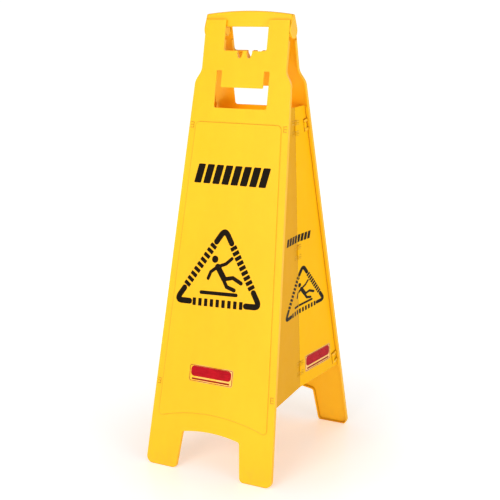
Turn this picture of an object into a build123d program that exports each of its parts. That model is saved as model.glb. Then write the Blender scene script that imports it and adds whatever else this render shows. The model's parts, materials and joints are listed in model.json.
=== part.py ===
"""Four-sided folding wet floor sign, in millimetres.

Origin: the point on the floor under the centre of the sign.  +Z is up, +X is the reader's right
when facing the front panel, and the front panel stands on the -Y side and leans back to the top.

Two upright panels lean on each other and turn on one horizontal axis at the top, through the
carry handle.  Each side is closed by two leaves, hinged to the panels' edges and to each other.
The edge hinges and the fold line of a side all run through one apex on the top axis, so the four
walls fold flat together like the sides of a paper bag.  The sign looks the same after half a turn
about Z: the rear panel and the left leaves are the front panel and the right leaves turned round.
"""
from build123d import *
import os
from math import asin, atan2, cos, degrees, hypot, radians, sin, tan

os.makedirs("parts", exist_ok=True)

# ---------------------------------------------------------------- driving dimensions
# Corners are written as (half width, height, corner radius).
HEIGHT = 958.0              # floor to the crown of the handle
AXIS_Z = 918.0              # height of the top hinge axis, which runs along X
FOOT_HALF_WIDTH = 152.5     # centre to the outer corner of a foot, along X
FOOT_HALF_DEPTH = 203.0     # centre to the outer face of a panel at the floor, along Y
AXIS_TO_FACE = 16.2         # top axis to the outer face of a panel, square to the face
EDGE_TAPER = 0.0486         # the side edges close in by this much per mm of height

# Panels: a thin sheet with a rim turned back round its outline
SHEET = 2.6
RIM_WALL = 2.4
RIM_DEPTH = 8.0             # outer face to the free edge of the rim
RIM_TOP_Z = 899.0           # the rim stops below the handle barrel
LIP_WIDTH = 6.4             # inward lip on the rim beside a deep hinge, side edge to its free edge
LIP_WALL = 1.6
EAR_TOP = (98.4, 940.0, 3.0)
SHOULDER_TOP = (99.2, 835.0, 28.0)
SHOULDER_FOOT = (113.0, 813.0, 28.0)
FOOT_OUTER_ROUND = 15.0
FOOT_INNER_HALF = 77.8
FOOT_INNER_ROUND = 10.0
LEG_GAP_TOP = (69.2, 80.0, 6.0)
LEG_GAP_RISE = 7.5          # rise of the arch between the legs

# Hand opening between the ears, and the window with the spring tongue below it
GRIP_SILL = (50.5, 876.6, 5.0)
NOTCH_CENTRE = 11.0
NOTCH_WIDTH = (13.0, 6.0)   # at its mouth and at its floor
NOTCH_DEPTH = 15.0
NOTCH_ROUND = 2.4
WINDOW_TOP = (62.5, 836.0, 2.0)
WINDOW_SILL = (62.5, 759.0, 5.0)
TONGUE_TIP = (49.6, 801.4, 2.5)

# Raised field that carries the print
FIELD_RISE = 1.6
FIELD_MARGIN = 16.0         # field to the panel's side edge
FIELD_TOP_Z = 729.0
FIELD_TOP_ROUND = 10.0
FIELD_FOOT_Z = 104.0
FIELD_FOOT_ROUND = 8.0
FIELD_ARCH = 21.0
FIELD_DRAFT = 30.0          # degrees

# Hinge lines; the tilts are measured from vertical, seen along X
HINGE_INBOARD = 7.5         # edge hinge line to the panel's side edge
SHALLOW_TILT = 12.07        # edge hinge close behind the face
DEEP_TILT = 10.83           # edge hinge deeper inside, so that left and right leaves pass
FOLD_INSET = 0.9            # degrees by which the fold line lies inside the edge hinges
PIN_ROLL_ANGLE = 48.0       # slope of the way out of an open hinge seat

PIN_RADIUS = 1.4
PIN_FIT = 0.05              # radial clearance of a pin
KNUCKLE_RADIUS = 3.2
KNUCKLE_CLEAR = 0.7         # leaf to a neighbour's knuckle
KNUCKLE_GAP = 0.4           # between neighbouring knuckles, along the pin
OPEN_KNUCKLE_GAP = 1.6      # the same at an open hinge seat, where the leaf wanders a little
EDGE_SITES_Z = (722.0, 178.0)
EDGE_KNUCKLE = 13.0
EDGE_LUG = 5.0
SITE_MARK = (8.0, 13.0)     # comb-shaped mark sunk into the face in front of an edge hinge
SITE_MARK_LINE = 1.6        # width of its lines
SITE_MARK_DEPTH = 1.1
FOLD_SITES_Z = (719.0, 455.0, 197.0)
FOLD_KNUCKLE = 13.0
FOLD_LUG = 8.0

LEAF_TOP_Z = 762.0
LEAF_FOOT_Z = (154.0, 154.5)    # at the edge hinge and at the fold
LEAF_WALL = 2.0
LEAF_SETBACK = 0.6          # hinge plane to the outer face of a leaf
LEAF_GAP = 0.5              # fold line to the edge of a leaf
LEAF_TO_RIM = 0.6           # edge of a leaf to the free edge of the panel's rim
STRAP_REACH = (4.3, 16.0)   # ribs beside the fold knuckles, from the fold line outwards
STRAP_OFFSETS = (-13.8, -8.2, 8.2, 13.8)
STRAP_WIDTH = 2.2
STRAP_RISE = 0.9

# Handle
BARREL_RADIUS = 10.0
BARREL_INNER_X = 53.4
BAR_FOOT_Z = 925.0
BAR_FOOT_HALF = 8.0         # half thickness of the bar at its foot
BAR_TOP_HALF = 4.4
BAR_CROWN = 7.0             # the bar's top is this much higher at the centre
BAR_ROUND = 3.4
CAP_RADIUS = 16.0
CAP_X = (98.8, 101.6)       # end caps, from their inner to their outer face

# Clips on the panels that hold the barrel: angles run from +Z towards the clip's own panel
CLIP_WALL = 2.4
CLIP_OUTER_X = (77.0, 97.0)
CLIP_INNER_X = (54.5, 74.0)
SNAP_CLIP = (57.0, 294.0)   # front panel: wraps the barrel and lets the bar swing
HALF_CLIP = (57.0, 172.0)   # rear panel: seats on the barrel from behind
FAN_STEPS = 8               # corners of the wedge that trims a ring to its angles
FAN_REACH = 30.0            # the wedge reaches well past the ring

LABEL_THICKNESS = 0.3
LABEL_SIZE = (106.0, 37.0)
LABEL_ROUND = 5.0
LABEL_CENTRE = (-10.5, 207.0)
SIDE_LABEL_SIZE = (114.0, 37.0)
SIDE_LABEL_FROM_EDGE = 65.0
SIDE_LABEL_Z = 200.0

# ---------------------------------------------------------------- derived geometry
TILT = atan2(FOOT_HALF_DEPTH, AXIS_Z) - asin(AXIS_TO_FACE / hypot(FOOT_HALF_DEPTH, AXIS_Z))
FACE_OUT = Vector(0, -cos(TILT), sin(TILT))
FACE = Plane(origin=(0, -FOOT_HALF_DEPTH, 0), x_dir=(1, 0, 0), z_dir=FACE_OUT)

APEX_X = FOOT_HALF_WIDTH - HINGE_INBOARD - EDGE_TAPER * AXIS_Z
APEX_RIGHT = Vector(APEX_X, 0, AXIS_Z)
APEX_LEFT = Vector(-APEX_X, 0, AXIS_Z)
SHALLOW_EDGE = Vector(EDGE_TAPER, -tan(radians(SHALLOW_TILT)), -1).normalized()
DEEP_EDGE = Vector(-EDGE_TAPER, -tan(radians(DEEP_TILT)), -1).normalized()
REAR_EDGE = Vector(EDGE_TAPER, tan(radians(DEEP_TILT)), -1).normalized()
SIDE_MIDDLE = (SHALLOW_EDGE + REAR_EDGE).normalized()
SIDE_INWARD = REAR_EDGE.cross(SHALLOW_EDGE).normalized()
FOLD = SIDE_MIDDLE * cos(radians(FOLD_INSET)) + SIDE_INWARD * sin(radians(FOLD_INSET))

BORE = PIN_RADIUS + PIN_FIT
EDGE_PIN_HALF = EDGE_KNUCKLE / 2 + KNUCKLE_GAP + EDGE_LUG
FOLD_PIN_HALF = FOLD_KNUCKLE / 2 + KNUCKLE_GAP + FOLD_LUG


def up_face(z):
    """Distance up the sloping face that reaches height z."""
    return z / cos(TILT)


def edge_x(z):
    """Half width of a panel below its shoulders."""
    return FOOT_HALF_WIDTH - EDGE_TAPER * z


def half_turn(shape):
    """The same shape, turned half a turn about the vertical centre line."""
    return shape.rotate(Axis.Z, 180)


def rounded_face(corners):
    """Symmetric face through the corners and their mirror images."""
    loop = corners + [(-x, z, radius) for x, z, radius in reversed(corners)]
    points = [(x, up_face(z)) for x, z, radius in loop]
    radii = [radius for x, z, radius in loop]
    return make_face(FilletPolyline(*points, radius=radii, close=True))


def nearest_vertex(face, x, y):
    return min(face.vertices(), key=lambda vertex: hypot(vertex.X - x, vertex.Y - y))


def arched_face(straight, arched, rise):
    """Symmetric four-sided face whose edge at the corner `arched` bows upwards by `rise`."""
    (x1, z1, radius1), (x2, z2, radius2) = straight, arched
    y1, y2 = up_face(z1), up_face(z2)
    sides = Polyline((x2, y2), (x1, y1), (-x1, y1), (-x2, y2))
    arch = ThreePointArc((x2, y2), (0, up_face(z2 + rise)), (-x2, y2))
    face = make_face(sides.edges() + arch.edges())
    for x, y, radius in ((x1, y1, radius1), (x2, y2, radius2)):
        for side in (1, -1):
            if radius > 0:
                face = fillet(nearest_vertex(face, side * x, y), radius)
    return face


def rod(frame, start, end, radius):
    """Cylinder along the frame's z axis."""
    return frame * Pos(0, 0, (start + end) / 2) * Cylinder(radius, end - start)


def brick(frame, x, y, z):
    """Box in a frame; each side is given by its two ends, in either order."""
    size = [abs(end - start) for start, end in (x, y, z)]
    centre = [(start + end) / 2 for start, end in (x, y, z)]
    return frame * Pos(*centre) * Box(*size)


def hinge_depth(line, z):
    """How far a hinge line lies behind its panel's outer face at height z."""
    return AXIS_TO_FACE - (AXIS_Z - z) * (abs(line.Y / line.Z) - tan(TILT)) * cos(TILT)


def hinge_frame(apex, line, z, toward):
    """Frame at height z on a hinge line: z axis down the line, x axis towards `toward`."""
    origin = apex + line * ((apex.Z - z) / -line.Z)
    across = toward - line * toward.dot(line)
    return Plane(origin=origin, x_dir=across, z_dir=line)


def cross_section(x):
    """Frame square to X on the top axis: its x points to -Y, its y up, its z to -X."""
    return Plane(origin=(x, 0, AXIS_Z), x_dir=(0, -1, 0), z_dir=(-1, 0, 0))


def both_ends(inner, outer):
    """The two stretches of a hinge line on either side of its middle knuckle."""
    return ((inner, outer), (-outer, -inner))


# ---------------------------------------------------------------- upright panels
def sill_notch():
    mouth, floor = [width / 2 for width in NOTCH_WIDTH]
    half = [(mouth, NOTCH_DEPTH, 0), (mouth, -NOTCH_DEPTH / 3, NOTCH_ROUND),
            (floor, -NOTCH_DEPTH, NOTCH_ROUND)]
    loop = half + [(-x, y, radius) for x, y, radius in reversed(half)]
    points = [(x, y) for x, y, radius in loop]
    return make_face(FilletPolyline(*points, radius=[radius for x, y, radius in loop], close=True))


def panel_outline():
    """Face of a panel: two legs, shoulders, and two ears with the hand opening between them."""
    outline = rounded_face([EAR_TOP, SHOULDER_TOP, SHOULDER_FOOT,
                            (FOOT_HALF_WIDTH, 0, FOOT_OUTER_ROUND)])
    outline -= arched_face((FOOT_INNER_HALF, 0, 0), LEG_GAP_TOP, LEG_GAP_RISE)
    outline -= rounded_face([(GRIP_SILL[0], HEIGHT, 0), GRIP_SILL])
    for side in (1, -1):
        outline -= Pos(side * NOTCH_CENTRE, up_face(GRIP_SILL[1])) * sill_notch()
        outline = fillet(nearest_vertex(outline, side * FOOT_INNER_HALF, 0), FOOT_INNER_ROUND)
    return outline


def tongue_window():
    window = rounded_face([WINDOW_TOP, WINDOW_SILL])
    return window - rounded_face([(TONGUE_TIP[0], HEIGHT, 0), TONGUE_TIP])


def print_field():
    top = (edge_x(FIELD_TOP_Z) - FIELD_MARGIN, FIELD_TOP_Z, FIELD_TOP_ROUND)
    foot = (edge_x(FIELD_FOOT_Z) - FIELD_MARGIN, FIELD_FOOT_Z, FIELD_FOOT_ROUND)
    return arched_face(top, foot, FIELD_ARCH)


def site_mark():
    """Spine and three teeth; the teeth point towards the panel's side edge."""
    width, height = SITE_MARK
    mark = Pos(-(width - SITE_MARK_LINE) / 2, 0) * Rectangle(SITE_MARK_LINE, height)
    for y in (-(height - SITE_MARK_LINE) / 2, 0, (height - SITE_MARK_LINE) / 2):
        mark += Pos(0, y) * Rectangle(width, SITE_MARK_LINE)
    return mark


def beside_left_leaf():
    """Part of the face plane at the left side edge, over the height of the leaf there."""
    foot, top = up_face(LEAF_FOOT_Z[0]), up_face(LEAF_TOP_Z)
    return Pos(-FOOT_HALF_WIDTH, (foot + top) / 2) * Rectangle(FOOT_HALF_WIDTH, top - foot)


def edge_lugs(apex, line, z, open_inward):
    """Two lugs behind the face that hold an edge hinge pin.

    An open pair is only a seat: the pin can roll out of it, inwards and towards the rim.
    """
    frame = hinge_frame(apex, line, z, FACE_OUT)
    depth = (FACE.origin - frame.origin).dot(FACE_OUT)
    outboard = 1 if frame.y_dir.X * apex.X > 0 else -1
    root = depth - SHEET / 2
    rim_middle = outboard * (HINGE_INBOARD - RIM_WALL / 2)
    lugs = Part()
    gap = OPEN_KNUCKLE_GAP if open_inward else KNUCKLE_GAP
    for start, end in both_ends(EDGE_KNUCKLE / 2 + gap, EDGE_PIN_HALF):
        lugs += rod(frame, start, end, KNUCKLE_RADIUS)
        lugs += brick(frame, (0, root), (-KNUCKLE_RADIUS, KNUCKLE_RADIUS), (start, end))
        lugs += brick(frame, (depth - RIM_DEPTH, root), (0, rim_middle), (start, end))
    lugs -= rod(frame, -EDGE_PIN_HALF, EDGE_PIN_HALF, BORE)
    if open_inward:
        reach = (-EDGE_PIN_HALF, EDGE_PIN_HALF)
        seat = BORE + PIN_FIT
        back = (-2 * KNUCKLE_RADIUS, 0)
        lugs -= brick(frame, back, (-outboard * seat, outboard * HINGE_INBOARD), reach)
        ramp = frame * Rot(0, 0, -outboard * PIN_ROLL_ANGLE)
        lugs -= brick(ramp, back, (-seat, seat), reach)
    return lugs


def clip(x_range, wrap):
    """Part-ring round the handle barrel, joined to the ear in front of it."""
    start, end = x_range
    frame = cross_section(end)
    ring = rod(frame, 0, end - start, BARREL_RADIUS + PIN_FIT + CLIP_WALL)
    first, last = wrap
    fan = [(0, 0)]
    for step in range(FAN_STEPS + 1):
        angle = radians(first + (last - first) * step / FAN_STEPS)
        fan.append((FAN_REACH * sin(angle), FAN_REACH * cos(angle)))
    ring &= extrude(frame * make_face(Polyline(*fan, close=True)), end - start)
    tie = FACE * Pos((start + end) / 2, up_face(AXIS_Z), 0)
    reach = AXIS_TO_FACE - BARREL_RADIUS
    ring += brick(tie, (start - (start + end) / 2, end - (start + end) / 2),
                  (-BARREL_RADIUS / 2, BARREL_RADIUS / 2), (-reach, -SHEET / 2))
    return ring - rod(frame, -1, end - start + 1, BARREL_RADIUS + PIN_FIT)


def panel(wrap, open_hinge):
    outline = panel_outline()
    sheet = extrude(FACE * (outline - tongue_window()), -SHEET)
    for side in (1, -1):
        for z in EDGE_SITES_Z:
            turn = Rot(0, 0, 90 - side * 90 + side * degrees(atan2(EDGE_TAPER, 1)))
            centre = Pos(side * (edge_x(z) - HINGE_INBOARD), up_face(z))
            sheet -= extrude(FACE * centre * turn * site_mark(), -SITE_MARK_DEPTH)
    below_barrel = Pos(0, up_face(RIM_TOP_Z) / 2) * Rectangle(4 * FOOT_HALF_WIDTH, up_face(RIM_TOP_Z))
    rim = (outline - offset(outline, -RIM_WALL)) & below_barrel
    shell = sheet + extrude(FACE * rim, -RIM_DEPTH)
    lip = (outline - offset(outline, -LIP_WIDTH)) & beside_left_leaf()
    shell += extrude(FACE.offset(LIP_WALL - RIM_DEPTH) * lip, -LIP_WALL)
    shell += extrude(FACE * print_field(), FIELD_RISE, taper=FIELD_DRAFT)
    for z in EDGE_SITES_Z:
        shell += edge_lugs(APEX_RIGHT, SHALLOW_EDGE, z, open_hinge)
        shell += edge_lugs(APEX_LEFT, DEEP_EDGE, z, False)
    shell += clip(CLIP_OUTER_X, wrap)
    shell += clip([-x for x in reversed(CLIP_INNER_X)], wrap)
    floor = Pos(0, -FOOT_HALF_DEPTH, -HEIGHT / 2) * Box(HEIGHT, HEIGHT, HEIGHT)
    return shell - floor


# ---------------------------------------------------------------- side leaves
def leaf(edge, lugs_at_fold):
    """One leaf of the right side, from the edge hinge line `edge` to the fold line.

    The leaf carries the middle knuckle of its edge hinges.  At the fold line it carries either
    the two end knuckles or the middle one.
    """
    across = (FOLD - edge * FOLD.dot(edge)).normalized()
    plane = Plane(origin=APEX_RIGHT, x_dir=across, z_dir=across.cross(edge))
    inner = 1 if plane.z_dir.X < 0 else -1
    angle = radians(edge.get_angle(FOLD))
    corners = []
    for edge_z, fold_z in ((LEAF_TOP_Z, LEAF_TOP_Z), LEAF_FOOT_Z):
        down_fold = (AXIS_Z - fold_z) / -FOLD.Z
        at_edge = (RIM_DEPTH + LEAF_TO_RIM - hinge_depth(edge, edge_z), (AXIS_Z - edge_z) / -edge.Z)
        at_fold = (down_fold * sin(angle) - LEAF_GAP * cos(angle),
                   down_fold * cos(angle) + LEAF_GAP * sin(angle))
        corners += [at_fold, at_edge] if corners else [at_edge, at_fold]
    outer_face = plane.offset(inner * LEAF_SETBACK)
    plate = extrude(outer_face * make_face(Polyline(*corners, close=True)), inner * LEAF_WALL)

    knuckles = Part()
    bores = Part()
    for z in EDGE_SITES_Z:
        frame = hinge_frame(APEX_RIGHT, edge, z, across)
        half = EDGE_KNUCKLE / 2
        notch = KNUCKLE_RADIUS + KNUCKLE_CLEAR
        for start, end in both_ends(half, EDGE_PIN_HALF + OPEN_KNUCKLE_GAP):
            plate -= brick(frame, (-hinge_depth(edge, z), notch), (-notch, notch), (start, end))
        knuckles += rod(frame, -half, half, KNUCKLE_RADIUS)
        bores += rod(frame, -half, half, BORE)

    for z in FOLD_SITES_Z:
        frame = hinge_frame(APEX_RIGHT, FOLD, z, edge)
        half = FOLD_KNUCKLE / 2
        ends = both_ends(half + KNUCKLE_GAP, FOLD_PIN_HALF)
        middle = ((-half, half),)
        own, other = (ends, middle) if lugs_at_fold else (middle, ends)
        for start, end in other:
            plate -= rod(frame, start - KNUCKLE_GAP, end + KNUCKLE_GAP, KNUCKLE_RADIUS + KNUCKLE_CLEAR)
        for start, end in own:
            knuckles += rod(frame, start, end, KNUCKLE_RADIUS)
        bores += rod(frame, -FOLD_PIN_HALF, FOLD_PIN_HALF, BORE)
        into = 1 if frame.y_dir.X < 0 else -1
        proud = into * (LEAF_SETBACK - STRAP_RISE)
        for offset_z in STRAP_OFFSETS:
            rib = (offset_z - STRAP_WIDTH / 2, offset_z + STRAP_WIDTH / 2)
            plate += brick(frame, STRAP_REACH, (proud, into * (LEAF_SETBACK + LEAF_WALL / 2)), rib)
    return plate + knuckles - bores


# ---------------------------------------------------------------- handle
def arched_bar():
    """The bar that the hand holds: thinner and rounded at the top, and higher in the middle."""
    foot, top = BAR_FOOT_Z - AXIS_Z, HEIGHT - AXIS_Z
    half = [(BAR_TOP_HALF, top, 0), (BAR_FOOT_HALF, foot, BAR_ROUND)]
    loop = half + [(-x, y, radius) for x, y, radius in reversed(half)]
    points = [(x, y) for x, y, radius in loop]
    section = make_face(FilletPolyline(*points, radius=[radius for x, y, radius in loop], close=True))
    bar = extrude(cross_section(CAP_X[0]) * section, 2 * CAP_X[0])
    end_x, end_z = CAP_X[1], HEIGHT - BAR_CROWN
    arch = ThreePointArc((-end_x, end_z), (0, HEIGHT), (end_x, end_z))
    skirt = Polyline((end_x, end_z), (end_x, AXIS_Z), (-end_x, AXIS_Z), (-end_x, end_z))
    bar &= extrude(Plane.XZ * make_face(arch.edges() + skirt.edges()), CAP_RADIUS, both=True)
    crown = bar.edges().filter_by(lambda edge: edge.length > end_x / 2 and edge.center().Z > end_z)
    return fillet(crown, BAR_ROUND)


def carry_handle():
    """Arched bar over a barrel at each end, closed by teardrop end caps."""
    handle = arched_bar()
    cap_top = HEIGHT - BAR_CROWN - BAR_TOP_HALF - AXIS_Z
    cap = make_hull(Circle(CAP_RADIUS).edges() + (Pos(0, cap_top) * Circle(BAR_TOP_HALF)).edges())
    neck_top = BAR_FOOT_Z + BAR_ROUND - AXIS_Z
    for side in (1, -1):
        barrel = Plane(origin=(side * BARREL_INNER_X, 0, AXIS_Z), z_dir=(side, 0, 0))
        handle += rod(barrel, 0, CAP_X[0] - BARREL_INNER_X, BARREL_RADIUS)
        neck_x = (side * BARREL_INNER_X, side * CAP_X[0])
        handle += brick(Pos(0, 0, AXIS_Z), neck_x, (-BAR_FOOT_HALF, BAR_FOOT_HALF), (0, neck_top))
        cap_start = max(side * CAP_X[0], side * CAP_X[1])
        handle += extrude(cross_section(cap_start) * cap, CAP_X[1] - CAP_X[0])
    return handle


# ---------------------------------------------------------------- pins and labels
def edge_pins(apex, line):
    pins = []
    for z in EDGE_SITES_Z:
        frame = hinge_frame(apex, line, z, FACE_OUT)
        pins.append(rod(frame, -EDGE_PIN_HALF, EDGE_PIN_HALF, PIN_RADIUS))
    return Compound(children=pins)


def fold_pins():
    pins = []
    for z in FOLD_SITES_Z:
        frame = hinge_frame(APEX_RIGHT, FOLD, z, REAR_EDGE)
        pins.append(rod(frame, -FOLD_PIN_HALF, FOLD_PIN_HALF, PIN_RADIUS))
    return Compound(children=pins)


def front_label():
    x, z = LABEL_CENTRE
    place = FACE.offset(FIELD_RISE) * Pos(x, up_face(z))
    return extrude(place * RectangleRounded(*LABEL_SIZE, LABEL_ROUND), LABEL_THICKNESS)


def side_label():
    """Label on the outer face of the right rear leaf, level with the floor."""
    across = (FOLD - REAR_EDGE * FOLD.dot(REAR_EDGE)).normalized()
    outward = across.cross(REAR_EDGE)
    on_edge = APEX_RIGHT + REAR_EDGE * ((AXIS_Z - SIDE_LABEL_Z) / -REAR_EDGE.Z)
    level = Vector(0, 0, 1).cross(outward).normalized()
    centre = on_edge - level * SIDE_LABEL_FROM_EDGE - outward * LEAF_SETBACK
    place = Plane(origin=centre, x_dir=level, z_dir=outward)
    return extrude(place * RectangleRounded(*SIDE_LABEL_SIZE, LABEL_ROUND), LABEL_THICKNESS)


right_front_leaf = leaf(SHALLOW_EDGE, lugs_at_fold=True)
right_rear_leaf = leaf(REAR_EDGE, lugs_at_fold=False)
shallow_pins = edge_pins(APEX_RIGHT, SHALLOW_EDGE)
deep_pins = edge_pins(APEX_LEFT, DEEP_EDGE)

nodes = {
    "front_panel": panel(SNAP_CLIP, open_hinge=False),
    "rear_panel": half_turn(panel(HALF_CLIP, open_hinge=True)),
    "carry_handle": carry_handle(),
    "right_front_leaf": right_front_leaf,
    "right_rear_leaf": right_rear_leaf,
    "left_rear_leaf": half_turn(right_front_leaf),
    "left_front_leaf": half_turn(right_rear_leaf),
    "front_right_edge_pins": shallow_pins,
    "front_left_edge_pins": deep_pins,
    "rear_left_edge_pins": half_turn(shallow_pins),
    "rear_right_edge_pins": half_turn(deep_pins),
    "right_fold_pins": fold_pins(),
    "left_fold_pins": half_turn(fold_pins()),
    "front_label": front_label(),
    "rear_label": half_turn(front_label()),
    "right_label": side_label(),
    "left_label": half_turn(side_label()),
}

for name, shape in nodes.items():
    export_step(shape, f"parts/{name}.step")
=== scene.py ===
"""Looks of the folding wet floor sign: materials, printed marks, studio floor, lights and camera.

Metres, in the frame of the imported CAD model.  The moulded parts are the CAD nodes themselves with
softened edges and a procedural plastic.  The printed marks are thin raised films made here: plain
bars, ticks and a stick figure that stand in for the wording and pictogram of a real sign.
"""

import json
import math

import bmesh
import bpy
import numpy as np
from mathutils import Matrix, Vector
from mathutils.geometry import tessellate_polygon


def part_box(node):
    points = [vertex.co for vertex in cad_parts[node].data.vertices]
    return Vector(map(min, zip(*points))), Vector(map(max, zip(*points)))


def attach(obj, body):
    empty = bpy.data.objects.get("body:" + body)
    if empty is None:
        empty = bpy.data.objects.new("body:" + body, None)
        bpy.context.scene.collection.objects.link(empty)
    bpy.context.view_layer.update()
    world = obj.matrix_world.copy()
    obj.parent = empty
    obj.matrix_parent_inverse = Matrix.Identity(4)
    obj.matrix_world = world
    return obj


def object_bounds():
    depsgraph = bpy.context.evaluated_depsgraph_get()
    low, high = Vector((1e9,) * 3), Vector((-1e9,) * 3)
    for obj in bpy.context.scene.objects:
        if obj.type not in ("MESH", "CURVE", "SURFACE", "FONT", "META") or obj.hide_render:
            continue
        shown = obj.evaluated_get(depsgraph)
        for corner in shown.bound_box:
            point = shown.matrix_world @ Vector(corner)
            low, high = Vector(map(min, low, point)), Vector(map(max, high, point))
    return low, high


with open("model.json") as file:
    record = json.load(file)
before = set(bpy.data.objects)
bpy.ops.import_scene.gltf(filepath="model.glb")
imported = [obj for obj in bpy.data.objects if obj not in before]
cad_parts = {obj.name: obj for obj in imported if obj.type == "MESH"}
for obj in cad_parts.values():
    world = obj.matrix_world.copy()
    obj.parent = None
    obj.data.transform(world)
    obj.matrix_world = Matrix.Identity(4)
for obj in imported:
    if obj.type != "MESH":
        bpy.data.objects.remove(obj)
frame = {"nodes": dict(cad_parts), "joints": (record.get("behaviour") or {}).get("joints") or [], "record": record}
cad_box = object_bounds()
nodes = frame["nodes"]
slot_of = {part["node"]: part["material_slot"] for part in frame["record"]["subparts"]}

MM = 0.001
WELD_REACH = 0.002 * MM     # joins the doubled points where CAD faces meet
EDGE_ROUND = 0.45 * MM      # softening of the moulded edges
EDGE_ANGLE = math.radians(40)
FILM = 0.12 * MM            # thickness of the print
FILM_SINK = 0.03 * MM       # how far the print reaches into the face below it
GRID = 0.7                  # mm between samples when a printed shape is outlined
STRAIGHT = 0.05             # mm by which an outline may be simplified

# linear colours, and the white sweep's own light
YELLOW = (0.97, 0.52, 0.006)
YELLOW_DEEP = (0.95, 0.475, 0.004)
# painted shade: a darker copy of the yellow for the leaves that lie in the shade of the panel beside them
PAINTED_SHADE_LEAF_YELLOW = (0.79, 0.39, 0.010)
PAINTED_SHADE_LEAF_YELLOW_DEEP = (0.76, 0.36, 0.008)
# painted shade: the darker yellow laid into creases, recesses and the foot of steps
CREASE_SHADE = (0.64, 0.31, 0.003)
# pale yellow for rubbed edges and for painted edge highlights
EDGE_WEAR_AND_HIGHLIGHT_YELLOW = (1.0, 0.70, 0.20)
PIN_YELLOW = (0.86, 0.42, 0.008)
LABEL_YELLOW = (0.97, 0.55, 0.16)
LABEL_RED = (0.36, 0.006, 0.012)
LABEL_LINE = (0.26, 0.018, 0.006)
INK = (0.009, 0.006, 0.003)
GRIME = (0.30, 0.19, 0.07)
FLOOR_WHITE = (0.90, 0.90, 0.90)
FLOOR_GLOW = (0.41, 0.69)   # light the sweep gives off near the sign and far from it
GLOW_REACH = (0.25, 0.95)   # metres from the middle over which it rises
WARM_GLOW = (0.98, 0.82, 0.66)      # painted warm bounce light on the floor next to the sign, as if thrown back from the yellow walls
WARM_REACH = (0.14, 0.36)           # metres from the middle over which the tint fades


# ---------------------------------------------------------------- materials
class Shader:
    """A material's node tree with short ways to add and link nodes."""

    def __init__(self, name):
        self.material = bpy.data.materials.new(name)
        self.material.use_nodes = True
        self.tree = self.material.node_tree
        self.tree.nodes.clear()
        self.output = self.tree.nodes.new("ShaderNodeOutputMaterial")
        self.coords = self.add("TexCoord").outputs["Object"]

    def add(self, kind, inputs=None, **settings):
        node = self.tree.nodes.new("ShaderNode" + kind)
        for key, value in settings.items():
            setattr(node, key, value)
        for key, value in (inputs or {}).items():
            self.put(node.inputs[key], value)
        return node

    def put(self, socket, value):
        if isinstance(value, bpy.types.NodeSocket):
            self.tree.links.new(value, socket)
        elif socket.type == "RGBA" and len(value) == 3:
            socket.default_value = (*value, 1.0)
        else:
            socket.default_value = value

    def stretched(self, scale):
        return self.add("Mapping", {"Vector": self.coords, "Scale": scale}).outputs["Vector"]

    def noise(self, scale, detail=2.0, vector=None, roughness=0.5):
        inputs = {"Vector": vector or self.coords, "Scale": scale, "Detail": detail, "Roughness": roughness}
        return self.add("TexNoise", inputs).outputs["Fac"]

    def remap(self, value, source, target=(0.0, 1.0)):
        inputs = {"Value": value, "From Min": source[0], "From Max": source[1],
                  "To Min": target[0], "To Max": target[1]}
        return self.add("MapRange", inputs, clamp=True).outputs["Result"]

    def math(self, operation, first, second=0.0):
        return self.add("Math", {0: first, 1: second}, operation=operation).outputs[0]

    def mix(self, factor, first, second):
        mixer = self.add("Mix", data_type="RGBA", clamp_factor=True)
        self.put(mixer.inputs[0], factor)
        self.put(mixer.inputs[6], first)
        self.put(mixer.inputs[7], second)
        return mixer.outputs[2]

    def bump(self, height, distance, strength=1.0, normal=None):
        inputs = {"Height": height, "Distance": distance, "Strength": strength}
        if normal is not None:
            inputs["Normal"] = normal
        return self.add("Bump", inputs).outputs["Normal"]

    def worn_and_highlit_edges(self, radius):
        """0 on flat ground, rising to 1 on convex edges, broken up by noise."""
        rounded = self.add("Bevel", {"Radius": radius}, samples=6).outputs["Normal"]
        flat = self.add("NewGeometry").outputs["Normal"]
        turned = self.add("VectorMath", {0: rounded, 1: flat}, operation="DOT_PRODUCT").outputs["Value"]
        edge = self.remap(turned, (0.995, 0.90))
        return self.math("MULTIPLY", edge, self.remap(self.noise(90, 4), (0.42, 0.62)))

    def finish(self, **inputs):
        bsdf = self.add("BsdfPrincipled", {key.replace("_", " "): value for key, value in inputs.items()})
        self.tree.links.new(bsdf.outputs[0], self.output.inputs[0])
        return self.material


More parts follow.
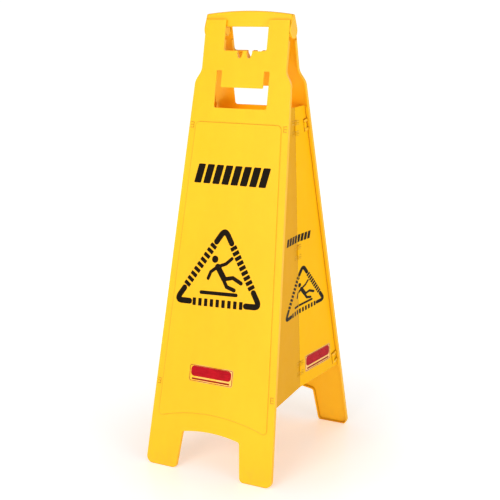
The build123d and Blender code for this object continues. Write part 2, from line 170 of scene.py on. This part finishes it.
def moulded_plastic(name, light, deep, gloss, shine, edge_wear_and_highlight=0.15):
    """Polypropylene with a fine spark-eroded grain, faint flow marks, scuffs, a little grime and painted shade in
    its creases.

    `gloss` is the middle of its roughness, `shine` the strength of its reflections and `edge_wear_and_highlight`
    how far its edges are painted pale: a little rubbed wear, and where set high a painted highlight of edges
    catching the light.
    """
    s = Shader(name)
    broad = s.noise(3.2, 3)
    flow = s.noise(1.0, 3, s.stretched((34, 34, 2.4)))
    mottle = s.noise(55, 3)
    tone = s.math("ADD", s.math("MULTIPLY", broad, 0.5), s.math("MULTIPLY", flow, 0.3))
    tone = s.math("ADD", tone, s.math("MULTIPLY", mottle, 0.2))
    colour = s.mix(s.remap(tone, (0.36, 0.64)), deep, light)

    # painted shade: the colour is pulled darker in creases, recesses and beside steps, where ambient occlusion
    # finds the surface hemmed in
    open_to_air = s.add("AmbientOcclusion", {"Distance": 3 * MM}, samples=8).outputs["AO"]
    colour = s.mix(s.remap(open_to_air, (0.99, 0.74)), colour, CREASE_SHADE)

    # pale edges: partly rubbed wear, and where the strength is set high, as on the leaves, a painted highlight of
    # edges catching the light
    edge_rub_and_highlight = s.worn_and_highlit_edges(0.9 * MM)
    colour = s.mix(s.math("MULTIPLY", edge_rub_and_highlight, edge_wear_and_highlight), colour, EDGE_WEAR_AND_HIGHLIGHT_YELLOW)

    scratch = s.noise(1.0, 2, s.stretched((900, 900, 26)), 0.4)
    across = s.noise(1.0, 2, s.stretched((60, 60, 1400)), 0.4)
    patches = s.remap(s.noise(9, 2), (0.52, 0.68))
    scuffs = s.math("MAXIMUM", s.remap(scratch, (0.70, 0.76)), s.remap(across, (0.72, 0.78)))
    scuffs = s.math("MULTIPLY", scuffs, patches)
    colour = s.mix(s.math("MULTIPLY", scuffs, 0.22), colour, (0.97, 0.66, 0.22))

    height = s.add("SeparateXYZ", {0: s.coords}).outputs["Z"]
    low = s.remap(height, (0.045, 0.0))
    dirt = s.math("MULTIPLY", low, s.remap(s.noise(70, 6), (0.40, 0.72)))
    colour = s.mix(s.math("MULTIPLY", dirt, 0.16), colour, GRIME)

    roughness = s.remap(s.noise(22, 4), (0.3, 0.7), (gloss - 0.05, gloss + 0.06))
    roughness = s.math("ADD", roughness, s.math("MULTIPLY", scuffs, 0.12))
    roughness = s.math("ADD", roughness, s.math("MULTIPLY", dirt, 0.25))

    grain = s.add("TexVoronoi", {"Vector": s.coords, "Scale": 1500.0}).outputs["Distance"]
    normal = s.bump(grain, 0.00006, 0.55)
    normal = s.bump(s.noise(130, 3), 0.00035, 0.35, normal)
    normal = s.bump(s.noise(9, 1), 0.0025, 0.12, normal)
    return s.finish(Base_Color=colour, Roughness=roughness, Normal=normal, IOR=1.49,
                    Specular_IOR_Level=shine)


def printed_ink(name, colour, gloss):
    """Screen ink: a thin even film with faint streaks and a few rubbed specks."""
    pale = [1.5 * value for value in colour]
    s = Shader(name)
    streak = s.noise(1.0, 3, s.stretched((60, 60, 400)))
    cloud = s.noise(40, 4)
    blend = s.math("MULTIPLY", s.math("ADD", streak, cloud), 0.5)
    base = s.mix(s.remap(blend, (0.38, 0.66)), colour, pale)
    patches = s.remap(s.noise(14, 2), (0.5, 0.66))
    specks = s.math("MULTIPLY", s.remap(s.noise(620, 3), (0.70, 0.74)), patches)
    base = s.mix(s.math("MULTIPLY", specks, 0.6), base, YELLOW_DEEP)
    roughness = s.remap(s.noise(180, 3), (0.3, 0.7), (gloss - 0.06, gloss + 0.08))
    normal = s.bump(s.noise(900, 2), 0.00003, 0.5)
    return s.finish(Base_Color=base, Roughness=roughness, Normal=normal, Specular_IOR_Level=0.04)


def vinyl(name, light, deep):
    """Glossy adhesive film with a slight ripple and handling marks."""
    s = Shader(name)
    colour = s.mix(s.remap(s.noise(28, 3), (0.35, 0.65)), deep, light)
    smears = s.remap(s.noise(1.0, 3, s.stretched((25, 25, 160))), (0.45, 0.7), (0.20, 0.36))
    normal = s.bump(s.noise(60, 2), 0.0006, 0.18)
    return s.finish(Base_Color=colour, Roughness=smears, Normal=normal, IOR=1.48, Coat_Weight=0.25,
                    Coat_Roughness=0.12)


def studio_floor(name):
    s = Shader(name)
    darker = [value * 0.99 for value in FLOOR_WHITE]
    shade = s.mix(s.remap(s.noise(2.0, 2), (0.3, 0.7)), FLOOR_WHITE, darker)
    away = s.add("VectorMath", {0: s.coords}, operation="LENGTH").outputs["Value"]
    # painted reflection: the floor's glow is tinted warm close to the sign, standing in for yellow light bounced
    # off its walls
    glow_colour = s.mix(s.remap(away, WARM_REACH), WARM_GLOW, FLOOR_WHITE)
    return s.finish(Base_Color=shade, Roughness=0.30, IOR=1.45, Emission_Color=glow_colour,
                    Emission_Strength=s.remap(away, GLOW_REACH, FLOOR_GLOW))


panel_plastic = moulded_plastic("yellow_polypropylene", YELLOW, YELLOW_DEEP, gloss=0.40, shine=0.30)
pin_plastic = moulded_plastic("pin_polypropylene", PIN_YELLOW, YELLOW_DEEP, gloss=0.30, shine=0.30)
# the leaves' ribs and hinge knuckles get strongly lightened edges: a painted highlight of edges catching the light
leaf_plastic = moulded_plastic("leaf_polypropylene", YELLOW, YELLOW_DEEP,
                               gloss=0.48, shine=0.04, edge_wear_and_highlight=0.8)
# painted shade: the right front leaf, and its half-turned twin the left rear leaf, get a darker copy of the same
# plastic in place of the shade the front panel casts on it
painted_shade_leaf_plastic = moulded_plastic("deep_leaf_polypropylene", PAINTED_SHADE_LEAF_YELLOW, PAINTED_SHADE_LEAF_YELLOW_DEEP,
                                    gloss=0.48, shine=0.04, edge_wear_and_highlight=0.8)
materials = {
    "yellow_plastic": panel_plastic,
    "pin_plastic": pin_plastic,
    "label_vinyl": vinyl("label_base_vinyl", LABEL_YELLOW, YELLOW),
}
leaf_materials = {
    "right_front_leaf": painted_shade_leaf_plastic,
    "left_rear_leaf": painted_shade_leaf_plastic,
    "right_rear_leaf": leaf_plastic,
    "left_front_leaf": leaf_plastic,
}
ink = printed_ink("black_screen_ink", INK, gloss=0.40)
label_red = printed_ink("label_red_ink", LABEL_RED, gloss=0.30)
label_line = printed_ink("label_line_ink", LABEL_LINE, gloss=0.30)

for name, piece in nodes.items():
    own = leaf_materials.get(name, materials[slot_of[name]])
    piece.data.materials.clear()
    piece.data.materials.append(own)
    if slot_of[name] == "yellow_plastic":
        weld = piece.modifiers.new("weld", "WELD")
        weld.merge_threshold = WELD_REACH
        soften = piece.modifiers.new("soften", "BEVEL")
        soften.width = EDGE_ROUND
        soften.segments = 2
        soften.limit_method = "ANGLE"
        soften.angle_limit = EDGE_ANGLE
        soften.use_clamp_overlap = True
        level_out = piece.modifiers.new("level_out", "WEIGHTED_NORMAL")
        level_out.weight = 100


# ---------------------------------------------------------------- outlines of printed shapes
# A shape is a function of x and y in mm that is negative inside, zero on the outline.
def stroke(points, radius):
    """A round-ended line through the points."""
    def shape(x, y):
        best = np.full_like(x, np.inf)
        for (ax, ay), (bx, by) in zip(points, points[1:]):
            along = ((x - ax) * (bx - ax) + (y - ay) * (by - ay)) / ((bx - ax) ** 2 + (by - ay) ** 2)
            along = np.clip(along, 0, 1)
            best = np.minimum(best, np.hypot(x - ax - along * (bx - ax), y - ay - along * (by - ay)))
        return best - radius
    return shape


def disc(centre, radius):
    return lambda x, y: np.hypot(x - centre[0], y - centre[1]) - radius


def plate(centre, size, corner, lean=0.0):
    """A rounded rectangle; it leans to the right by `lean` per unit of height."""
    def shape(x, y):
        up = y - centre[1]
        dx = np.abs(x - centre[0] - lean * up) - size[0] / 2 + corner
        dy = np.abs(up) - size[1] / 2 + corner
        return np.hypot(np.maximum(dx, 0), np.maximum(dy, 0)) + np.minimum(np.maximum(dx, dy), 0) - corner
    return shape


def turned_plate(centre, direction, size, corner):
    """A rounded rectangle whose height runs along `direction`."""
    dx, dy = direction
    upright = plate((0, 0), size, corner)

    def shape(x, y):
        x, y = x - centre[0], y - centre[1]
        return upright(x * dy - y * dx, x * dx + y * dy)
    return shape


def union(shapes):
    def shape(x, y):
        return np.minimum.reduce([part(x, y) for part in shapes])
    return shape


def ring(shape, width):
    """The band of the given width just inside a shape's outline."""
    return lambda x, y: np.maximum(shape(x, y), -shape(x, y) - width)


def beside(shape, limit, side):
    """The part of a shape with x above the limit (side 1) or below it (side -1)."""
    return lambda x, y: np.maximum(shape(x, y), side * (limit - x))


def outlines(shape, low, high):
    """Closed loops round a shape, inside on the left, found cell by cell on a square grid."""
    xs = np.arange(low[0] - 2 * GRID, high[0] + 2 * GRID, GRID)
    ys = np.arange(low[1] - 2 * GRID, high[1] + 2 * GRID, GRID)
    values = shape(*np.meshgrid(xs, ys, indexing="ij"))
    inside = values < 0
    corners = inside[:-1, :-1].astype(int) + inside[1:, :-1] + inside[1:, 1:] + inside[:-1, 1:]
    following, points = {}, {}
    for i, j in np.argwhere((corners > 0) & (corners < 4)):
        cell = [(i, j), (i + 1, j), (i + 1, j + 1), (i, j + 1)]
        crossings = []
        for a, b in zip(cell, cell[1:] + cell[:1]):
            if inside[a] == inside[b]:
                continue
            key = (min(a, b), max(a, b))
            share = values[a] / (values[a] - values[b])
            points[key] = (xs[a[0]] + share * (xs[b[0]] - xs[a[0]]),
                           ys[a[1]] + share * (ys[b[1]] - ys[a[1]]))
            crossings.append((key, bool(inside[a])))
        starts_outward = crossings[0][1]
        entry = crossings[-1][0] if starts_outward else crossings[0][0]
        for key, outward in crossings:
            if outward:
                following[key] = entry
            else:
                entry = key
    loops = []
    while following:
        start, key = next(iter(following.items()))
        del following[start]
        loop = [points[start]]
        while key != start:
            loop.append(points[key])
            key = following.pop(key)
        loops.append(simplified(loop))
    return [loop for loop in loops if len(loop) > 2]


def simplified(loop):
    """The loop without points that lie on the straight line between their neighbours."""
    points = np.array(loop)

    def thin(first, last):
        if last - first < 2:
            return []
        start, run = points[first], points[last] - points[first]
        from_start = points[first + 1:last] - start
        length = max(np.hypot(*run), 1e-9)
        off = np.abs(from_start[:, 0] * run[1] - from_start[:, 1] * run[0]) / length
        worst = int(off.argmax())
        if off[worst] < STRAIGHT:
            return []
        middle = first + 1 + worst
        return thin(first, middle) + [middle] + thin(middle, last)

    far = int(np.hypot(*(points - points[0]).T).argmax())
    points = np.vstack([points, points[:1]])
    keep = [0] + thin(0, far) + [far] + thin(far, len(points) - 1)
    return [tuple(points[index]) for index in keep]


def signed_area(loop):
    return sum(ax * by - bx * ay for (ax, ay), (bx, by) in zip(loop, loop[1:] + loop[:1])) / 2


def holds(loop, point):
    """True when the point lies inside the loop."""
    x, y = point
    inside = False
    for (ax, ay), (bx, by) in zip(loop, loop[1:] + loop[:1]):
        if (ay > y) != (by > y) and x < ax + (y - ay) / (by - ay) * (bx - ax):
            inside = not inside
    return inside


def film(name, shape, low, high, place, body, material):
    """Thin closed solids in a printed shape.  `place` takes x, y in mm and the lift off the face."""
    loops = outlines(shape, low, high)
    holes = [loop for loop in loops if signed_area(loop) < 0]
    mesh = bmesh.new()
    for outer in loops:
        if signed_area(outer) <= 0:
            continue
        group = [outer] + [hole for hole in holes if holds(outer, hole[0])]
        flat = [point for loop in group for point in loop]
        base = [mesh.verts.new(place(x, y, -FILM_SINK)) for x, y in flat]
        top = [mesh.verts.new(place(x, y, FILM)) for x, y in flat]
        for a, b, c in tessellate_polygon([[Vector((x, y, 0)) for x, y in loop] for loop in group]):
            mesh.faces.new((top[a], top[b], top[c]))
            mesh.faces.new((base[c], base[b], base[a]))
        start = 0
        for loop in group:
            count = len(loop)
            for k in range(count):
                a, b = start + k, start + (k + 1) % count
                mesh.faces.new((base[a], base[b], top[b], top[a]))
            start += count
    bmesh.ops.recalc_face_normals(mesh, faces=mesh.faces)
    data = bpy.data.meshes.new(name)
    mesh.to_mesh(data)
    mesh.free()
    data.materials.append(material)
    piece = bpy.data.objects.new(name, data)
    bpy.context.scene.collection.objects.link(piece)
    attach(piece, body)
    return piece


def half_turned(piece, name, body):
    """The same piece on the other side of the sign: half a turn about the vertical centre line."""
    data = piece.data.copy()
    data.transform(Matrix.Rotation(math.pi, 4, "Z"))
    other = bpy.data.objects.new(name, data)
    bpy.context.scene.collection.objects.link(other)
    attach(other, body)
    return other


# ---------------------------------------------------------------- faces that carry the print
def broad_face(node, facing):
    """(unit normal, distance) of the largest flat face of a node that looks along `facing`."""
    areas, planes = {}, {}
    for polygon in nodes[node].data.polygons:
        if polygon.normal.dot(facing) < 0.8:
            continue
        distance = polygon.normal.dot(polygon.center)
        key = tuple(round(value, 2) for value in polygon.normal) + (round(distance, 4),)
        areas[key] = areas.get(key, 0) + polygon.area
        if key not in planes or polygon.area > planes[key][0]:
            planes[key] = (polygon.area, polygon.normal.copy(), distance)
    area, normal, distance = planes[max(areas, key=areas.get)]
    return normal, distance


def on_face(node, facing, start):
    """Placing function on a node's broad face: x is level, y is the height in mm.

    `start(z)` gives a point of the line x = 0 at height z.
    """
    normal, distance = broad_face(node, facing)
    level = Vector((0, 0, 1)).cross(normal).normalized()

    def place(x, y, lift):
        point = start(y * MM)
        point = point - normal * (normal.dot(point) - distance)
        return point + level * (x * MM) + normal * lift
    return place


fold = next(joint for joint in frame["joints"] if joint["name"] == "right_fold")
fold_point, fold_axis = Vector(fold["pos_m"]), Vector(fold["axis"])


def on_fold(z):
    return fold_point + fold_axis * ((z - fold_point.z) / fold_axis.z)


front_facing = Vector((0, -1, 0.2)).normalized()
side_facing = Vector((1, 0, 0))
front_normal, front_distance = broad_face("front_panel", front_facing)


def up_front(z):
    """Point of the front face on the middle plane at height z."""
    return Vector((0, (front_distance - front_normal.z * z) / front_normal.y, z))


on_front = on_face("front_panel", front_facing, up_front)
on_front_leaf = on_face("right_front_leaf", side_facing, on_fold)
on_rear_leaf = on_face("right_rear_leaf", side_facing, on_fold)

# ---------------------------------------------------------------- printed marks, mm on the front face
WORD_CENTRE = (-3.0, 622.5)
WORD_SIZE = (176.0, 40.0)
WORD_BARS = 8
WORD_LEAN = 0.22
BAR_SHARE = 0.76            # width of a bar, as a share of the pitch
BAR_ROUND = 2.2
TRIANGLE = ((-7.0, 512.0), (-111.5, 354.0), (90.0, 361.0))     # top, left and right corner
TRIANGLE_STROKE = 6.2
CORNER_REACH = 33.0         # length of the heavy stroke from a corner
CORNER_BEND = 16.0          # where its rounding starts
BEND_STEPS = 8
TICKS = 9
TICK_SIZE = (8.2, 16.0)
TICK_ROUND = 1.2
TICK_CLEAR = 5.5            # end of a corner stroke to the middle of the nearest tick
HEAD_RADIUS = 7.6
TRUNK_STROKE, ARM_STROKE, LEG_STROKE = 6.6, 3.6, 4.2
FIGURE_FLOOR = ((-52.0, 376.5), (32.0, 379.5))
FLOOR_STROKE = 3.8


def hazard_bars():
    pitch = WORD_SIZE[0] / WORD_BARS
    width = BAR_SHARE * pitch
    bars = []
    for k in range(WORD_BARS):
        x = WORD_CENTRE[0] + (k - (WORD_BARS - 1) / 2) * pitch
        bars.append(plate((x, WORD_CENTRE[1]), (width, WORD_SIZE[1]), BAR_ROUND, WORD_LEAN))
    return union(bars)


def between(a, b, share):
    return (a[0] + (b[0] - a[0]) * share, a[1] + (b[1] - a[1]) * share)


def bent_corner(corner, one, other):
    """Heavy rounded stroke at a corner of the triangle."""
    reach = [CORNER_REACH / math.dist(corner, end) for end in (one, other)]
    bend = [CORNER_BEND / math.dist(corner, end) for end in (one, other)]
    first, last = between(corner, one, bend[0]), between(corner, other, bend[1])
    curve = []
    for step in range(BEND_STEPS + 1):
        t = step / BEND_STEPS
        curve.append(between(between(first, corner, t), between(corner, last, t), t))
    start, end = between(corner, one, reach[0]), between(corner, other, reach[1])
    return stroke([start] + curve + [end], TRIANGLE_STROKE)


def ticks(start, end):
    """A row of short bars across one side of the triangle."""
    length = math.dist(start, end)
    direction = ((end[0] - start[0]) / length, (end[1] - start[1]) / length)
    across = (-direction[1], direction[0])
    gap = CORNER_REACH + TRIANGLE_STROKE + TICK_CLEAR
    bars = []
    for k in range(TICKS):
        share = (gap + (length - 2 * gap) * k / (TICKS - 1)) / length
        bars.append(turned_plate(between(start, end, share), across, TICK_SIZE, TICK_ROUND))
    return bars


def warning_triangle():
    parts = []
    for k in range(3):
        corner, one, other = (TRIANGLE[(k + step) % 3] for step in range(3))
        parts.append(bent_corner(corner, one, other))
        parts += ticks(corner, one)
    return union(parts)


def slipping_figure():
    """A plain stick figure leaning back over a bar."""
    head = disc((-25.0, 448.0), HEAD_RADIUS)
    trunk = stroke([(-17.0, 433.0), (0.0, 410.0)], TRUNK_STROKE)
    raised_arm = stroke([(-15.0, 434.0), (2.0, 441.0), (15.0, 453.0)], ARM_STROKE)
    back_arm = stroke([(-19.0, 432.0), (-33.0, 421.0), (-38.0, 407.0)], ARM_STROKE)
    front_leg = stroke([(0.0, 409.0), (21.0, 414.0), (41.0, 405.0)], LEG_STROKE)
    rear_leg = stroke([(-1.0, 408.0), (8.0, 394.0), (26.0, 389.0)], LEG_STROKE)
    ground = stroke(FIGURE_FLOOR, FLOOR_STROKE)
    return union([head, trunk, raised_arm, back_arm, front_leg, rear_leg, ground])


def scaled(place, origin, scale, target):
    """Placing function that first moves `origin` of the drawing to `target` and scales it."""
    return lambda x, y, lift: place(target[0] + (x - origin[0]) * scale[0],
                                    target[1] + (y - origin[1]) * scale[1], lift)


artwork = {
    "hazard_bars": (hazard_bars(), (-100, 595), (95, 650)),
    "warning_triangle": (warning_triangle(), (-125, 335), (105, 525)),
    "slip_figure": (slipping_figure(), (-65, 365), (60, 470)),
}
# On the sides the drawing is smaller: a point of it, its scale, and where that point goes, as the
# distance from the fold line and the height
SIDE_TRIANGLE = ((-9.0, 502.0), (0.926, 0.62), (20.0, 415.5))
SIDE_MARKS = {
    "hazard_bars": (WORD_CENTRE, (0.665, 0.40), (-1.5, 485.0)),
    "warning_triangle": SIDE_TRIANGLE,
    "slip_figure": SIDE_TRIANGLE,
}
FOLD_GAP = 1.1              # mm left bare on each side of the fold line

for name, (shape, low, high) in artwork.items():
    front = film(f"front_{name}", shape, low, high, on_front, "front_panel", ink)
    half_turned(front, f"rear_{name}", "rear_panel")
    origin, scale, target = SIDE_MARKS[name]
    at_fold = origin[0] - target[0] / scale[0]
    gap = FOLD_GAP / scale[0]
    for body, other, side, place in (("right_front_leaf", "left_rear_leaf", -1, on_front_leaf),
                                     ("right_rear_leaf", "left_front_leaf", 1, on_rear_leaf)):
        half = beside(shape, at_fold + side * gap, side)
        piece = film(f"{body}_{name}", half, low, high, scaled(place, origin, scale, target),
                     body, ink)
        half_turned(piece, f"{other}_{name}", other)


# ---------------------------------------------------------------- labels, mm and shares of the label
LABEL_MARGIN = 1.3          # label's edge to the outline
LABEL_LINE_WIDTH = 1.3
LABEL_ROUND = 4.0
FIELD_SIDE = 4.5            # label's edge to the red field at each end
FIELD_SHARE, FIELD_RISE, FIELD_ROUND = 0.60, 0.12, 8.0
STRIPE_SHARES, STRIPE_DROP, STRIPE_ROUND = (0.86, 0.10), 0.33, 1.5
DRAWING_MARGIN = 2          # how far the area searched for outlines goes past the label's edge


def label_print(node, facing, body, other_body, other_name):
    """Outline, red field and a plain stripe on a label, and the same on the label opposite."""
    normal, distance = broad_face(node, facing)
    level = Vector((0, 0, 1)).cross(normal).normalized()
    upward = normal.cross(level)
    low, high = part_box(node)
    centre = (low + high) / 2
    centre = centre - normal * (normal.dot(centre) - distance)
    points = [vertex.co - centre for vertex in nodes[node].data.vertices]
    width = 2 * max(point.dot(level) for point in points) / MM
    height = 2 * max(point.dot(upward) for point in points) / MM

    def place(x, y, lift):
        return centre + level * (x * MM) + upward * (y * MM) + normal * lift

    inset = plate((0, 0), (width - 2 * LABEL_MARGIN, height - 2 * LABEL_MARGIN), LABEL_ROUND)
    field_size = (width - 2 * FIELD_SIDE, FIELD_SHARE * height)
    stripe_size = (STRIPE_SHARES[0] * width, STRIPE_SHARES[1] * height)
    parts = {
        "outline": (ring(inset, LABEL_LINE_WIDTH), label_line),
        "red_field": (plate((0, FIELD_RISE * height), field_size, FIELD_ROUND), label_red),
        "stripe": (plate((0, -STRIPE_DROP * height), stripe_size, STRIPE_ROUND), label_line),
    }
    reach = (width / 2 + DRAWING_MARGIN, height / 2 + DRAWING_MARGIN)
    for part, (shape, material) in parts.items():
        piece = film(f"{node}_{part}", shape, [-value for value in reach], reach, place, body,
                     material)
        half_turned(piece, f"{other_name}_{part}", other_body)


label_print("front_label", front_facing, "front_panel", "rear_panel", "rear_label")
label_print("right_label", side_facing, "right_rear_leaf", "left_front_leaf", "left_label")


# ---------------------------------------------------------------- studio, metres and radians
FLOOR_HALF = 40.0           # middle to the edge of the sweep
FLOOR_CLEAR = 0.2 * MM      # the sweep lies just under the feet
MIDDLE = (0.0, 0.0, 0.45)   # of the sign
REAR_LEG = (0.1, 0.2, 0.2)
GLOW_COLOUR = (1.0, 0.55, 0.10)
GLOW_RADIUS = 0.05
CAMERA_PLACE = (1.08015, -2.02774, 0.97526)
AZIMUTH, ELEVATION, ROLL = 0.490448, 0.225899, -0.003654
LENS = 77.65                # mm


def floor():
    data = bpy.data.meshes.new("studio_floor")
    half = FLOOR_HALF
    corners = [(-half, -half, 0), (half, -half, 0), (half, half, 0), (-half, half, 0)]
    data.from_pydata(corners, [], [(0, 1, 2, 3)])
    data.materials.append(studio_floor("white_sweep"))
    piece = bpy.data.objects.new("studio_floor", data)
    bpy.context.scene.collection.objects.link(piece)
    piece.location.z = cad_box[0].z - FLOOR_CLEAR


def softbox(name, place, target, size, watts):
    data = bpy.data.lights.new(name, "AREA")
    data.shape = "RECTANGLE"
    data.size, data.size_y = size
    data.energy = watts
    lamp = bpy.data.objects.new(name, data)
    bpy.context.scene.collection.objects.link(lamp)
    lamp.location = place
    lamp.rotation_mode = "QUATERNION"
    lamp.rotation_quaternion = (Vector(target) - Vector(place)).to_track_quat("-Z", "Y")


def glow(name, place, watts):
    """Faint warm light inside the sign, for the light that comes through its thin walls."""
    data = bpy.data.lights.new(name, "POINT")
    data.energy = watts
    data.color = GLOW_COLOUR
    data.shadow_soft_size = GLOW_RADIUS
    lamp = bpy.data.objects.new(name, data)
    bpy.context.scene.collection.objects.link(lamp)
    lamp.location = place


def surroundings(seen, lighting):
    """A white world that the camera sees brighter than it shines."""
    world = bpy.data.worlds.new("studio")
    bpy.context.scene.world = world
    world.use_nodes = True
    tree = world.node_tree
    tree.nodes.clear()
    path = tree.nodes.new("ShaderNodeLightPath")
    strength = tree.nodes.new("ShaderNodeMapRange")
    strength.inputs["To Min"].default_value = lighting
    strength.inputs["To Max"].default_value = seen
    background = tree.nodes.new("ShaderNodeBackground")
    background.inputs["Color"].default_value = (1, 1, 1, 1)
    output = tree.nodes.new("ShaderNodeOutputWorld")
    tree.links.new(path.outputs["Is Camera Ray"], strength.inputs["Value"])
    tree.links.new(strength.outputs["Result"], background.inputs["Strength"])
    tree.links.new(background.outputs[0], output.inputs[0])


def photo_camera():
    forward = Vector((-math.sin(AZIMUTH) * math.cos(ELEVATION),
                      math.cos(AZIMUTH) * math.cos(ELEVATION), -math.sin(ELEVATION)))
    level = forward.cross(Vector((0, 0, 1))).normalized()
    upright = level.cross(forward)
    right = math.cos(ROLL) * level + math.sin(ROLL) * upright
    up = right.cross(forward)
    data = bpy.data.cameras.new("camera")
    data.sensor_width = 36.0
    data.lens = LENS
    data.clip_start, data.clip_end = 0.05, 200.0
    camera = bpy.data.objects.new("camera", data)
    bpy.context.scene.collection.objects.link(camera)
    turned = Matrix((right, up, -forward)).transposed().to_4x4()
    camera.matrix_world = Matrix.Translation(CAMERA_PLACE) @ turned
    bpy.context.scene.camera = camera


floor()
softbox("key", place=(-0.3, -3.4, 1.7), target=MIDDLE, size=(1.8, 2.2), watts=48)
softbox("side_fill", place=(2.9, -1.3, 1.1), target=MIDDLE, size=(1.4, 2.0), watts=18)
softbox("low_fill", place=(1.5, -2.7, 0.35), target=REAR_LEG, size=(0.9, 0.5), watts=15)
softbox("back_fill", place=(0.3, 3.4, 1.7), target=MIDDLE, size=(1.8, 2.2), watts=16)
glow("inner_glow_high", place=(0.0, -0.02, 0.74), watts=0.12)
glow("inner_glow_low", place=(0.0, 0.0, 0.52), watts=0.03)
surroundings(seen=1.05, lighting=0.50)
photo_camera()
bpy.context.scene.view_settings.view_transform = "Standard"
